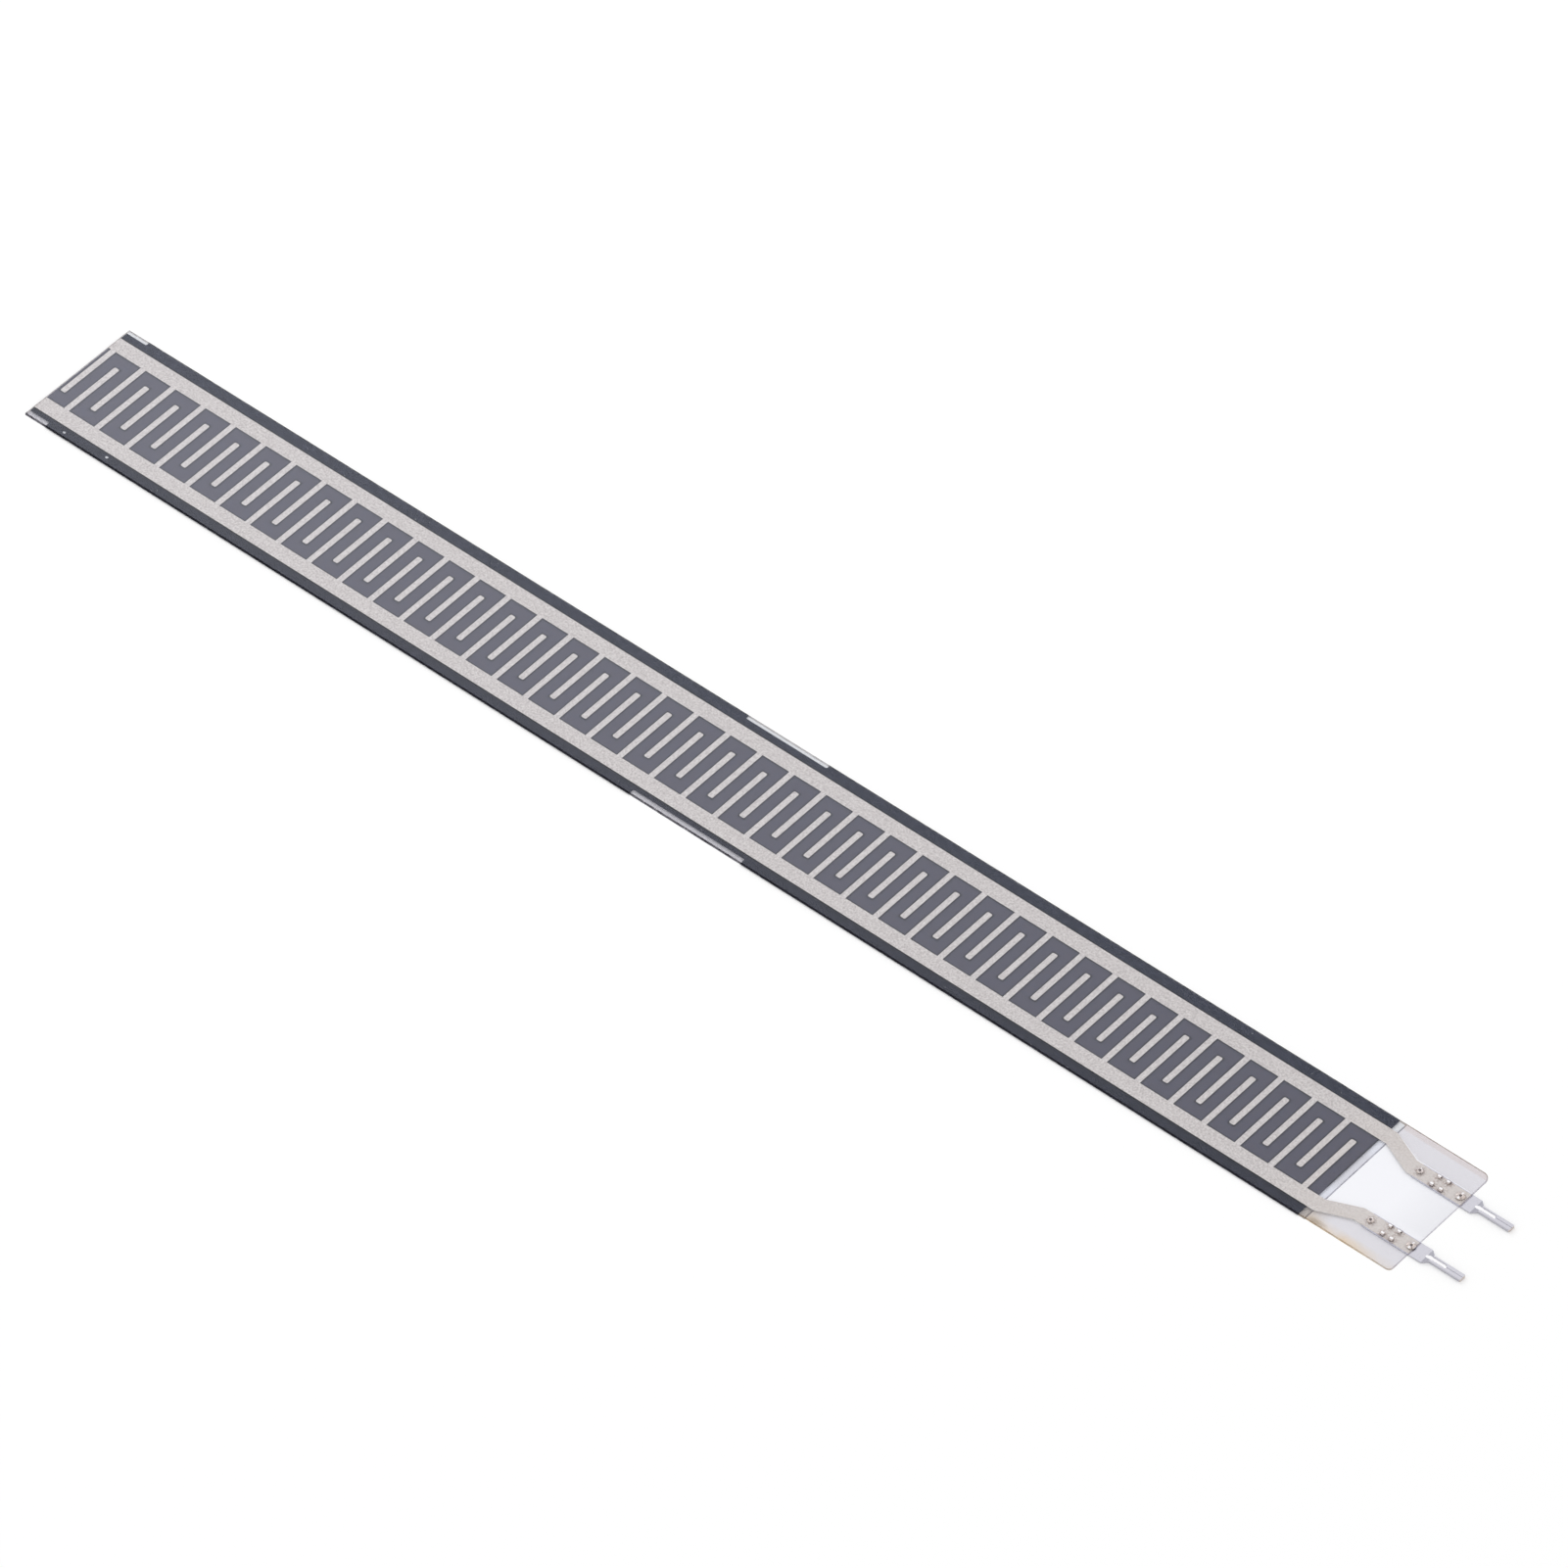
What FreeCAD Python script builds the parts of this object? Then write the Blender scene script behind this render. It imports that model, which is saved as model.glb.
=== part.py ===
import FreeCAD, Part
import math
import os

# Force sensing resistor strip of the shunt kind, lying flat with its electrode film on top.
# Two silver combs are printed on the underside of the clear electrode film. Adhesive along the two
# long rims holds that film a hair above a carbon layer on the backing film. Pressing the strip lets
# the carbon bridge the fingers of the two combs. The electrode film runs on as a tail, where each
# comb ends in a pad with a crimped male terminal.
# Millimetres. X runs from the cut end to the terminals, Y across with left at +Y, and Z up. The origin
# is on the resting plane, under the middle of the part. Lengths along X are measured from the cut end
# while the pieces are made.

# Films and their layers, from the resting plane up
film_width = 15.0
backing_thickness = 0.10
carbon_thickness = 0.015
spacer_thickness = 0.05            # adhesive between the carbon and the electrode film
electrode_film_thickness = 0.10
silver_thickness = 0.015

# Printed combs
finger_pairs = 40
finger_pitch = 2.0                 # from each finger to the next one, which is the other comb's
finger_width = 0.63
finger_corner = 0.10               # flat across each corner of a finger's tip
finger_tip_gap = 1.6               # bare strip between a finger's tip and the other comb's bus
rim_width = 1.305                  # from the film's edge to the bus
bus_width = 1.72
end_margin = 0.35                  # from the cut end to the first finger
print_clearance = 0.05             # bare film between ink and adhesive, and between ink and film end
bus_overhang = 0.10                # how far the bus reaches past the adhesive under it

# Tail
backing_margin = 0.80              # clear backing film past the end of the carbon
jog_length = 3.50                  # the stretch in which a trace moves in from its bus to its pad
jog_corner_radius = 0.60
plate_gap = 0.60                   # from the end of the jog to the terminal's plate
plate_cover = 5.95                 # length of the plate that the film covers
pad_inset = 0.08                   # from the plate's edge in to the pad's edge
plate_clearance = 0.10             # between a terminal's plate and the adhesive beside it
tail_corner_radius_left = 0.85
tail_corner_radius_right = 0.50

# Bare places in the carbon print along the film's edges, measured from the cut end
end_bare_length = 2.60
left_bare_depth = 0.38
right_bare_depth = 0.70
left_bare_start = 80.60
left_bare_length = 10.15
right_bare_start = 78.50
right_bare_length = 13.95
bare_corner_radius = 0.15

# Crimped terminals, each bent from one strip of sheet
terminal_spacing = 7.62
terminal_sheet = 0.15
right_terminal_offset = 0.30       # the right terminal is crimped a little further out
plate_length = 7.05
plate_width = 1.88
plate_corner_radius = 0.20
shoulder_length = 0.55             # taper from the plate to the pin
pin_length = 3.65
pin_width = 0.85
pin_edge_radius = 0.06
pin_tip_corner = 0.08
trough_length = 2.50
trough_radius = 0.23
trough_floor = 0.10                # metal left under the trough
tip_length = 1.90                  # closed stretch of the pin past the trough
seam_width = 0.04
seam_depth = 0.05

# Tines and pierced crowns that hold a terminal to the film
tine_width = 0.34
tine_thickness = 0.12
tine_curl_radius = 0.08            # inner radius of the curl
tine_spacing_along = 1.05
tine_edge_distance = 0.17          # from the plate's edge to a tine's leg
lance_length = 0.42                # window that a tine leaves in the plate
lance_clearance = 0.03
crown_inner_distance = 0.43        # from the plate's inner end to the small crown
crown_outer_distance = 0.72        # from the film's end back to the large crown
crown_inner_lip = 0.36             # radius of the small crown's lip
crown_outer_lip = 0.46
crown_bore_radius = 0.14
crown_barrel_radius = 0.26
crown_lip_height = 0.16
crown_lip_edge = 0.06
crown_slit = 0.06
crown_slit_count = 4
pierce_clearance = 0.02            # between a tine or crown and the hole that it made

# Levels and places that follow from the sizes above
carbon_level = backing_thickness
spacer_level = carbon_level + carbon_thickness
film_level = spacer_level + spacer_thickness
silver_level = film_level - silver_thickness
top_level = film_level + electrode_film_thickness
plate_level = silver_level - terminal_sheet
pin_level = silver_level + terminal_sheet
carbon_end = end_margin + 2 * finger_pairs * finger_pitch
backing_end = carbon_end + backing_margin
jog_end = backing_end + jog_length
plate_start = jog_end + plate_gap
film_end = plate_start + plate_cover
terminal_length = plate_length + shoulder_length + pin_length
overall_length = plate_start + terminal_length + right_terminal_offset
edge = film_width / 2
bus_outer = edge - rim_width
bus_inner = bus_outer - bus_width
pad_middle = terminal_spacing / 2
pad_inner = pad_middle - plate_width / 2 + pad_inset
pad_outer = pad_middle + plate_width / 2 - pad_inset
tine_outer = plate_width / 2 - tine_edge_distance
tine_inner = tine_outer - tine_thickness
cut_overrun = 1.0                  # how far a cutting tool runs past what it cuts
level_tolerance = 1e-6

LEFT = 1
RIGHT = -1
UP = FreeCAD.Vector(0, 0, 1)


def flat_face(corners):
    """Face through (x, y, radius) corners in the XY plane. A radius of zero keeps a corner sharp."""
    starts = []
    ends = []
    middles = []
    for i, (x, y, radius) in enumerate(corners):
        here = FreeCAD.Vector(x, y, 0)
        following = corners[(i + 1) % len(corners)]
        back = FreeCAD.Vector(corners[i - 1][0], corners[i - 1][1], 0) - here
        ahead = FreeCAD.Vector(following[0], following[1], 0) - here
        back.normalize()
        ahead.normalize()
        half_angle = back.getAngle(ahead) / 2
        bisector = (back + ahead).normalize()
        starts.append(here + back * (radius / math.tan(half_angle)))
        ends.append(here + ahead * (radius / math.tan(half_angle)))
        middles.append(here + bisector * (radius / math.sin(half_angle) - radius))
    edges = []
    for i, (x, y, radius) in enumerate(corners):
        if radius > 0:
            edges.append(Part.Arc(starts[i], middles[i], ends[i]).toShape())
        edges.append(Part.makeLine(ends[i], starts[(i + 1) % len(corners)]))
    return Part.Face(Part.Wire(edges))


def layer(corners, level, thickness):
    """Flat layer of even thickness on the outline, with its underside at a level."""
    solid = flat_face(corners).extrude(UP * thickness)
    solid.translate(UP * level)
    return solid


def block(x_from, x_to, y_from, y_to, z_from, z_to):
    """Box between two corners."""
    corner = FreeCAD.Vector(x_from, min(y_from, y_to), z_from)
    return Part.makeBox(x_to - x_from, abs(y_to - y_from), z_to - z_from, corner)


def terminal_start(side):
    """Where a terminal's plate begins under the tail."""
    return plate_start + right_terminal_offset if side == RIGHT else plate_start


def crown_places(side):
    """Middle of each crown along X, with the radius of its lip."""
    inner = terminal_start(side) + crown_inner_distance
    outer = terminal_start(side) + plate_cover - crown_outer_distance
    return [(inner, crown_inner_lip), (outer, crown_outer_lip)]


def tine_places(side):
    """Middle of each tine along X, halfway between the crowns, and the side of the plate that it is on."""
    (inner, inner_lip), (outer, outer_lip) = crown_places(side)
    middle = (inner + outer) / 2
    return [(middle + along * tine_spacing_along / 2, across) for along in (-1, 1) for across in (-1, 1)]


def piercings(side):
    """Tools that cut the holes of a terminal's tines and crowns through the film and the silver."""
    centre = side * pad_middle
    low = silver_level - cut_overrun
    high = top_level + cut_overrun
    tools = []
    for x, lip in crown_places(side):
        foot = FreeCAD.Vector(x, centre, low)
        tools.append(Part.makeCylinder(crown_barrel_radius + pierce_clearance, high - low, foot))
    for x, across in tine_places(side):
        inner = centre + across * (tine_inner - pierce_clearance)
        outer = centre + across * (tine_outer + pierce_clearance)
        half = tine_width / 2 + pierce_clearance
        tools.append(block(x - half, x + half, inner, outer, low, high))
    return tools


def backing_film():
    """Lower film, which stops short of the tail."""
    return block(0, backing_end, -edge, edge, 0, backing_thickness)


def bare_edge(side, start, length, depth):
    """Tool for a bare place in the carbon, open to the film's edge, with rounded inner corners."""
    outside = side * (edge + cut_overrun)
    inside = side * (edge - depth)
    corners = [(start, outside, 0), (start + length, outside, 0),
               (start + length, inside, bare_corner_radius), (start, inside, bare_corner_radius)]
    return layer(corners, carbon_level, carbon_thickness)


def carbon_layer():
    """Carbon ink across the whole width of the backing film, bare in places along its edges."""
    carbon = block(0, carbon_end, -edge, edge, carbon_level, spacer_level)
    end_length = end_bare_length + cut_overrun
    return carbon.cut([bare_edge(LEFT, -cut_overrun, end_length, left_bare_depth),
                       bare_edge(RIGHT, -cut_overrun, end_length, right_bare_depth),
                       bare_edge(LEFT, left_bare_start, left_bare_length, left_bare_depth),
                       bare_edge(RIGHT, right_bare_start, right_bare_length, right_bare_depth)])


def spacer(side):
    """Adhesive along one rim, thinner where it runs in under the silver bus, and on along the tail."""
    corner_radius = tail_corner_radius_left if side == LEFT else tail_corner_radius_right
    rim_inner = bus_outer + print_clearance
    land_inner = pad_middle + plate_width / 2 + plate_clearance
    rim = layer([(0, side * edge, 0), (film_end, side * edge, corner_radius),
                 (film_end, side * land_inner, 0), (jog_end, side * land_inner, 0),
                 (backing_end, side * rim_inner, 0), (0, side * rim_inner, 0)],
                spacer_level, spacer_thickness)
    under_bus = block(0, carbon_end, side * rim_inner, side * (bus_inner + bus_overhang),
                      spacer_level, silver_level)
    return rim.fuse(under_bus).removeSplitter()


def finger(x, root, tip):
    """Corners of one finger, from its root on the bus round its tip and back."""
    far_side = x + finger_width
    return [(x, root, 0), (x, tip + finger_corner, 0), (x + finger_corner, tip, 0),
            (far_side - finger_corner, tip, 0), (far_side, tip + finger_corner, 0), (far_side, root, 0)]


def silver_comb(side):
    """One comb with its bus, its fingers and its trace to the pad, printed as one piece."""
    first = end_margin if side == LEFT else end_margin + finger_pitch
    pad_end = film_end - print_clearance
    corners = [(0, bus_outer, 0), (0, bus_inner, 0)]
    for pair in range(finger_pairs):
        corners += finger(first + 2 * pair * finger_pitch, bus_inner, finger_tip_gap - bus_inner)
    corners += [(backing_end, bus_inner, jog_corner_radius), (jog_end, pad_inner, jog_corner_radius),
                (pad_end, pad_inner, 0), (pad_end, pad_outer, 0),
                (jog_end, pad_outer, jog_corner_radius), (backing_end, bus_outer, jog_corner_radius)]
    comb = layer([(x, side * y, radius) for x, y, radius in corners], silver_level, silver_thickness)
    return comb.cut(piercings(side))


def electrode_film():
    """Clear upper film with its tail, pierced by the terminals."""
    film = layer([(0, -edge, 0), (film_end, -edge, tail_corner_radius_right),
                  (film_end, edge, tail_corner_radius_left), (0, edge, 0)],
                 film_level, electrode_film_thickness)
    return film.cut(piercings(LEFT) + piercings(RIGHT))


def crown(x, centre, lip_radius):
    """Wall of a pierced hole, burst up through the film and rolled out on top of it in petals."""
    crest = top_level + crown_lip_height
    ring = [(crown_bore_radius, plate_level), (crown_barrel_radius, plate_level),
            (crown_barrel_radius, top_level), (lip_radius, top_level),
            (lip_radius, top_level + crown_lip_edge), (crown_barrel_radius, crest),
            (crown_bore_radius, crest - crown_lip_edge)]
    points = [FreeCAD.Vector(radius, 0, z) for radius, z in ring + ring[:1]]
    body = Part.Face(Part.makePolygon(points)).revolve(FreeCAD.Vector(0, 0, 0), UP, 360)
    slits = []
    for i in range(crown_slit_count):
        slit = block(crown_barrel_radius, lip_radius + cut_overrun, -crown_slit / 2, crown_slit / 2,
                     top_level, crest + cut_overrun)
        slit.rotate(FreeCAD.Vector(0, 0, 0), UP, (i + 0.5) * 360 / crown_slit_count)
        slits.append(slit)
    body = body.cut(slits)
    body.translate(FreeCAD.Vector(x, centre, 0))
    return body


def tine(x, centre, across):
    """Tine that stands up through the film and curls over to press its tip on the film's top."""
    curl_outer = tine_curl_radius + tine_thickness

    def point(inward, z):
        return FreeCAD.Vector(x - tine_width / 2, centre + across * (tine_inner - inward), z)

    foot_outer = point(-tine_thickness, silver_level)
    foot_inner = point(0, silver_level)
    turn_outer = point(-tine_thickness, top_level)
    turn_inner = point(0, top_level)
    tip_outer = point(2 * tine_curl_radius + tine_thickness, top_level)
    tip_inner = point(2 * tine_curl_radius, top_level)
    edges = [Part.makeLine(foot_outer, turn_outer),
             Part.Arc(turn_outer, point(tine_curl_radius, top_level + curl_outer), tip_outer).toShape(),
             Part.makeLine(tip_outer, tip_inner),
             Part.Arc(tip_inner, point(tine_curl_radius, top_level + tine_curl_radius), turn_inner).toShape(),
             Part.makeLine(turn_inner, foot_inner),
             Part.makeLine(foot_inner, foot_outer)]
    return Part.Face(Part.Wire(edges)).extrude(FreeCAD.Vector(tine_width, 0, 0))


def lance_window(x, centre, across):
    """Window in the plate that a tine was bent up out of."""
    half = tine_width / 2 + lance_clearance
    leg = centre + across * tine_inner
    return block(x - half, x + half, leg, leg - across * lance_length, plate_level, silver_level)


def pin_trough(tip, centre):
    """Round-bottomed trough between the folded wings. It begins in the flat plate, where it is narrower."""
    axis = plate_level + trough_floor + trough_radius
    start = FreeCAD.Vector(tip - tip_length - trough_length + trough_radius, centre, axis)
    end = FreeCAD.Vector(tip - tip_length - trough_radius, centre, axis)
    barrel = Part.makeCylinder(trough_radius, (end - start).Length, start, FreeCAD.Vector(1, 0, 0))
    return barrel.fuse([Part.makeSphere(trough_radius, start), Part.makeSphere(trough_radius, end)])


def folded_wings(outline, shoulder, pin_start, tip, centre):
    """Second thickness of sheet on the pin, whose ends slope up along the shoulders."""
    half = plate_width / 2
    side_view = Part.makePolygon([FreeCAD.Vector(shoulder, centre - half, silver_level),
                                  FreeCAD.Vector(tip, centre - half, silver_level),
                                  FreeCAD.Vector(tip, centre - half, pin_level),
                                  FreeCAD.Vector(pin_start, centre - half, pin_level),
                                  FreeCAD.Vector(shoulder, centre - half, silver_level)])
    rise = Part.Face(side_view).extrude(FreeCAD.Vector(0, plate_width, 0))
    return rise.common(layer(outline, silver_level, terminal_sheet))


def terminal(side):
    """Stamped male terminal: a plate under the pad, its tines and crowns, and a folded pin."""
    centre = side * pad_middle
    start = terminal_start(side)
    shoulder = start + plate_length
    pin_start = shoulder + shoulder_length
    tip = pin_start + pin_length
    half_plate = plate_width / 2
    half_pin = pin_width / 2
    lower_half = [(start, -half_plate, plate_corner_radius), (shoulder, -half_plate, plate_corner_radius),
                  (pin_start, -half_pin, plate_corner_radius),
                  (tip - pin_tip_corner, -half_pin, 0), (tip, pin_tip_corner - half_pin, 0)]
    upper_half = [(x, -y, radius) for x, y, radius in reversed(lower_half)]
    outline = [(x, centre + y, radius) for x, y, radius in lower_half + upper_half]
    sheet = layer(outline, plate_level, terminal_sheet)
    body = sheet.fuse(folded_wings(outline, shoulder, pin_start, tip, centre)).removeSplitter()
    long_edges = [e for e in body.Edges if e.BoundBox.XLength > trough_length]
    crests = [e for e in long_edges if abs(e.BoundBox.ZMin - pin_level) < level_tolerance]
    body = body.makeFillet(pin_edge_radius, crests)
    cuts = [pin_trough(tip, centre),
            block(tip - tip_length - trough_radius, tip + cut_overrun, centre - seam_width / 2,
                  centre + seam_width / 2, pin_level - seam_depth, pin_level + cut_overrun)]
    for x, lip in crown_places(side):
        foot = FreeCAD.Vector(x, centre, plate_level)
        cuts.append(Part.makeCylinder(crown_bore_radius, terminal_sheet, foot))
    for x, across in tine_places(side):
        cuts.append(lance_window(x, centre, across))
    raised = [crown(x, centre, lip) for x, lip in crown_places(side)]
    raised += [tine(x, centre, across) for x, across in tine_places(side)]
    return body.cut(cuts).fuse(raised).removeSplitter()


def save(name, shape):
    """Write one piece, moved so that the origin lies under the middle of the whole part."""
    assert len(shape.Solids) == 1 and shape.isValid(), name
    piece = shape.Solids[0].copy()
    piece.translate(FreeCAD.Vector(-overall_length / 2, 0, 0))
    piece.exportStep("parts/" + name + ".step")
    print(name, "volume", round(piece.Volume, 3), "faces", len(piece.Faces))


os.makedirs("parts", exist_ok=True)
save("backing_film", backing_film())
save("carbon_layer", carbon_layer())
save("spacer_left", spacer(LEFT))
save("spacer_right", spacer(RIGHT))
save("silver_comb_left", silver_comb(LEFT))
save("silver_comb_right", silver_comb(RIGHT))
save("electrode_film", electrode_film())
save("terminal_left", terminal(LEFT))
save("terminal_right", terminal(RIGHT))
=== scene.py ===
"""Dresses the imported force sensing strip: two clear polyester films with silver and carbon ink between them,
and two tinned terminals crimped through the tail."""

import math
import random

import bmesh
import bpy
from mathutils import Matrix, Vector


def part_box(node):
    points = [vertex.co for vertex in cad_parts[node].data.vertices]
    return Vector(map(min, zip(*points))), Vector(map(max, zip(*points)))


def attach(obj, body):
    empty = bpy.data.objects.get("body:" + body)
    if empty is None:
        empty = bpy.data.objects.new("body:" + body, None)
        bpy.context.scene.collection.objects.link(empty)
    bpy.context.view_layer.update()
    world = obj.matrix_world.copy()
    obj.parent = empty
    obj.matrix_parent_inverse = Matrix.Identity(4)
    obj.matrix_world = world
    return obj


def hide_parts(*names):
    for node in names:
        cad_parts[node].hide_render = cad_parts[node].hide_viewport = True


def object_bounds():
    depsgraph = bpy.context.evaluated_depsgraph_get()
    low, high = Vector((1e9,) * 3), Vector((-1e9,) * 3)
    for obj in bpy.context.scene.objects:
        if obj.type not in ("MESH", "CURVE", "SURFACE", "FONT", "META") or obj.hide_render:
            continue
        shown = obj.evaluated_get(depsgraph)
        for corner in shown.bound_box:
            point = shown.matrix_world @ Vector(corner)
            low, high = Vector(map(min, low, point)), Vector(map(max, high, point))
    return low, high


bl_info = {
    "name": "Force sensing strip",
    "version": (1, 0, 0),
    "blender": (4, 5, 0),
    "location": "3D View > Sidebar > Sensor",
    "description": "Dresses a packed force sensing strip and sets its photo stage",
    "category": "Object",
}

MM = 0.001
ROOT = "root"

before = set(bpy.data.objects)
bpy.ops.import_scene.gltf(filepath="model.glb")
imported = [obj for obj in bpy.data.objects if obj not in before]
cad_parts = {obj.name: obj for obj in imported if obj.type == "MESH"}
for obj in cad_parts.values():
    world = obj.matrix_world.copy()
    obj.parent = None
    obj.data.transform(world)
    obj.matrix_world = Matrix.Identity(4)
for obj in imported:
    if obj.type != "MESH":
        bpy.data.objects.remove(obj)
CAD_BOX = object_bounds()
CUT_END = CAD_BOX[0].x
CARBON_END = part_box("carbon_layer")[1].x
BACKING_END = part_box("backing_film")[1].x
BACKING_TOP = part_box("backing_film")[1].z
FILM_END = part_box("electrode_film")[1].x
FILM_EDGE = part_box("electrode_film")[1].y
FILM_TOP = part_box("electrode_film")[1].z
FILM_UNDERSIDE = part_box("electrode_film")[0].z
TERMINAL_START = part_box("terminal_left")[0].x
TERMINAL_MIDDLE = (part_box("terminal_left")[0].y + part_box("terminal_left")[1].y) / 2
TERMINAL_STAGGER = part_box("terminal_right")[0].x - TERMINAL_START

# The silver print: its buses run along both sides, and its fingers start at the cut end
BUS_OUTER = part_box("silver_comb_left")[1].y
BUS_INNER = BUS_OUTER - 1.72 * MM
FIRST_FINGER = CUT_END + 0.35 * MM
FINGER_WIDTH = 0.63 * MM
FINGER_REACH = 2.875 * MM  # from the strip's middle line to a finger's tip
COMB_PITCH = 4.0 * MM

# The bare places in the carbon along the left edge: one at the cut end, one in the middle of the length
END_WINDOW = CUT_END + 2.6 * MM
WINDOW_MIDDLE = -2.725 * MM
WINDOW_REACH = 5.075 * MM

# The pierced places of one crimp, in millimetres along it from its start and off its middle line
PIERCED = ((0.43, 0.0), (5.23, 0.0), (2.305, 0.57), (2.305, -0.57), (3.355, 0.57), (3.355, -0.57))

# The film between the crimps, greyed by painted shade towards the film's end
CRIMP_SHADE_START = TERMINAL_START + 1 * MM
CRIMP_SHADE_HALF_WIDTH = 2 * MM

# Two large bubbles under the right rim: millimetres along and across, and size
LARGE_BUBBLES = ((-83.75, -6.9, 2.0), (-78.25, -6.72, 2.2))
BUBBLE_DEPTH = 0.02 * MM
BUBBLE_HALF_HEIGHT = 0.012 * MM

# The trough pressed into a pin: how far it is from the pin's tip, its half width and its floor's height
TROUGH_NEAR, TROUGH_FAR = 1.85 * MM, 4.75 * MM
TROUGH_HALF_WIDTH = 0.236 * MM
TROUGH_FLOOR = 0.09 * MM
SHOULDER_FAR = 5 * MM  # the shoulders are nearer to the tip than this

UPRIGHT = 0.5  # a face stands upright if its normal points up or down by less than this
SAME_HEIGHT = 0.001 * MM  # points this close in height are on one level
EDGE_SLOT = 1  # a film's second material
TINNED, BURNISHED_GLINT, CREASE_AND_SHADE, TORN = range(4)  # a terminal's materials


def linear(hex_colour):
    """An sRGB hex colour as linear red, green, blue and a full alpha."""
    parts = [int(hex_colour[i : i + 2], 16) / 255 for i in (0, 2, 4)]
    return tuple(c / 12.92 if c <= 0.04045 else ((c + 0.055) / 1.055) ** 2.4 for c in parts) + (1.0,)


def colour(name, description, hex_colour):
    """A colour setting."""
    return bpy.props.FloatVectorProperty(
        name=name, description=description, subtype="COLOR", size=4, min=0, max=1, default=linear(hex_colour)
    )


def length(name, description, metres):
    """A length setting."""
    return bpy.props.FloatProperty(
        name=name,
        description=description,
        subtype="DISTANCE",
        unit="LENGTH",
        min=0,
        precision=5,
        default=metres,
    )


def place(name, description, metres):
    """A setting for a point in space."""
    return bpy.props.FloatVectorProperty(
        name=name, description=description, subtype="TRANSLATION", unit="LENGTH", default=metres
    )


def share(name, description, value):
    """A setting from 0 to 1."""
    return bpy.props.FloatProperty(
        name=name, description=description, subtype="FACTOR", min=0, max=1, default=value
    )


def angle(name, description, degrees):
    """An angle setting."""
    return bpy.props.FloatProperty(
        name=name, description=description, subtype="ANGLE", unit="ROTATION", default=math.radians(degrees)
    )


def add_node(tree, kind, inputs=(), **settings):
    """Adds one node. inputs gives its sockets by name, or as a list in the order in which the node shows them.
    A node or one of its outputs is linked, a node by its first output. Anything else is the socket's value."""
    node = tree.nodes.new(kind)
    for name, value in settings.items():
        setattr(node, name, value)
    if isinstance(inputs, dict):
        pairs = [(node.inputs[name], value) for name, value in inputs.items()]
    else:
        pairs = zip([socket for socket in node.inputs if socket.enabled], inputs)
    for socket, value in pairs:
        if isinstance(value, bpy.types.Node):
            value = next(output for output in value.outputs if output.enabled)
        if isinstance(value, bpy.types.NodeSocket):
            tree.links.new(value, socket)
        else:
            socket.default_value = value
    return node


def empty_material(name):
    """A material with no nodes, and its node tree."""
    material = bpy.data.materials.new(name)
    material.use_nodes = True
    material.node_tree.nodes.clear()
    return material, material.node_tree


def point_and_axes(tree):
    """The shaded point, and its x along the strip, y across it to the left, and z up."""
    point = add_node(tree, "ShaderNodeTexCoord").outputs["Object"]
    return point, *add_node(tree, "ShaderNodeSeparateXYZ", [point]).outputs


def facing_up(tree):
    """How far a face's normal points up: 1 on top, 0 on an upright face, -1 underneath."""
    normal = add_node(tree, "ShaderNodeNewGeometry").outputs["Normal"]
    return add_node(tree, "ShaderNodeSeparateXYZ", [normal]).outputs["Z"]


def seen_directly(tree):
    """1 for what the camera, a mirror or glass sees, and 0 for the light that falls on the strip."""
    rays = add_node(tree, "ShaderNodeLightPath").outputs
    seen = add_node(
        tree, "ShaderNodeMath", [rays["Is Camera Ray"], rays["Is Glossy Ray"]], operation="MAXIMUM"
    )
    return add_node(tree, "ShaderNodeMath", [seen, rays["Is Transmission Ray"]], operation="MAXIMUM")


# Settings


class FilmSettings(bpy.types.PropertyGroup):
    """The two clear polyester films"""

    tint: colour("Tint", "What the film lets through at each of its faces", "FAFAFC")
    gloss_roughness: share("Gloss roughness", "How much the film's face blurs what it mirrors", 0.3)
    gloss_colour: colour("Gloss tint", "Cast of what the film's face mirrors", "E6E9F3")
    index: bpy.props.FloatProperty(
        name="Refractive index", description="A little under that of polyester", min=1, max=2, default=1.5
    )
    gap_mirror: share(
        "Gap mirror", "What the electrode film's underside mirrors where there is air below it", 0.036
    )
    ripple_size: length("Ripple size", "Distance between the soft ripples of the flexible sheet", 14 * MM)
    backing_tint: colour(
        "Backing tint", "What the milkier backing film lets through at each of its faces", "F2F3F6"
    )
    # Painted shade: past the carbon's end the backing film passes a greyer tint, standing for the shade of the
    # air gap
    margin_shade_tint: colour(
        "Backing margin", "The same past the carbon, where a trace of ink binder greys it", "ECECEE"
    )
    # Painted shade: the electrode film is greyed between the crimps, darker towards its end
    crimp_shade_tint: colour(
        "Pressed film", "What the electrode film lets through between the crimps, pressed dull", "F4F4F6"
    )
    rim_width: length("Rim line", "Width of the line that the cut edge shows from above", 0.1 * MM)
    # Painted reflection: the dark of the ink mirrored in the cut edge
    body_reflection_line: colour(
        "Line along the body", "What the cut edge lets through over the ink, whose dark it picks up", "77757C"
    )
    # Painted light: lighter where a bare place lets the lit floor show through
    bare_light_line: colour(
        "Line along a bare place",
        "What it lets through on the left, where a window in the carbon lets light in",
        "D2D0D2",
    )
    left_tail_line: colour(
        "Line along the tail's left", "What it lets through there, browned by crept adhesive", "BAAEA7"
    )
    right_tail_line: colour("Line along the tail's right", "What it lets through there, paler", "C6BEB5")
    backing_end_line: colour(
        "Line at the backing's end", "What the backing film's square-cut end lets through", "9E9CA4"
    )
    tail_end_line: colour(
        "Line at the tail's end",
        "What the electrode film's square-cut end and its pierced places let through",
        "CCC9CF",
    )
    cut_end_line: colour("Line across the body", "What the freshly cut end lets through", "D6D2D2")
    frost: share("Frost", "How much of its own grey the torn edge shows", 0.1)
    ink_gap: length(
        "Ink gap", "Clearance between a film's face and its ink, so that neither hides the other", 0.004 * MM
    )


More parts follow.
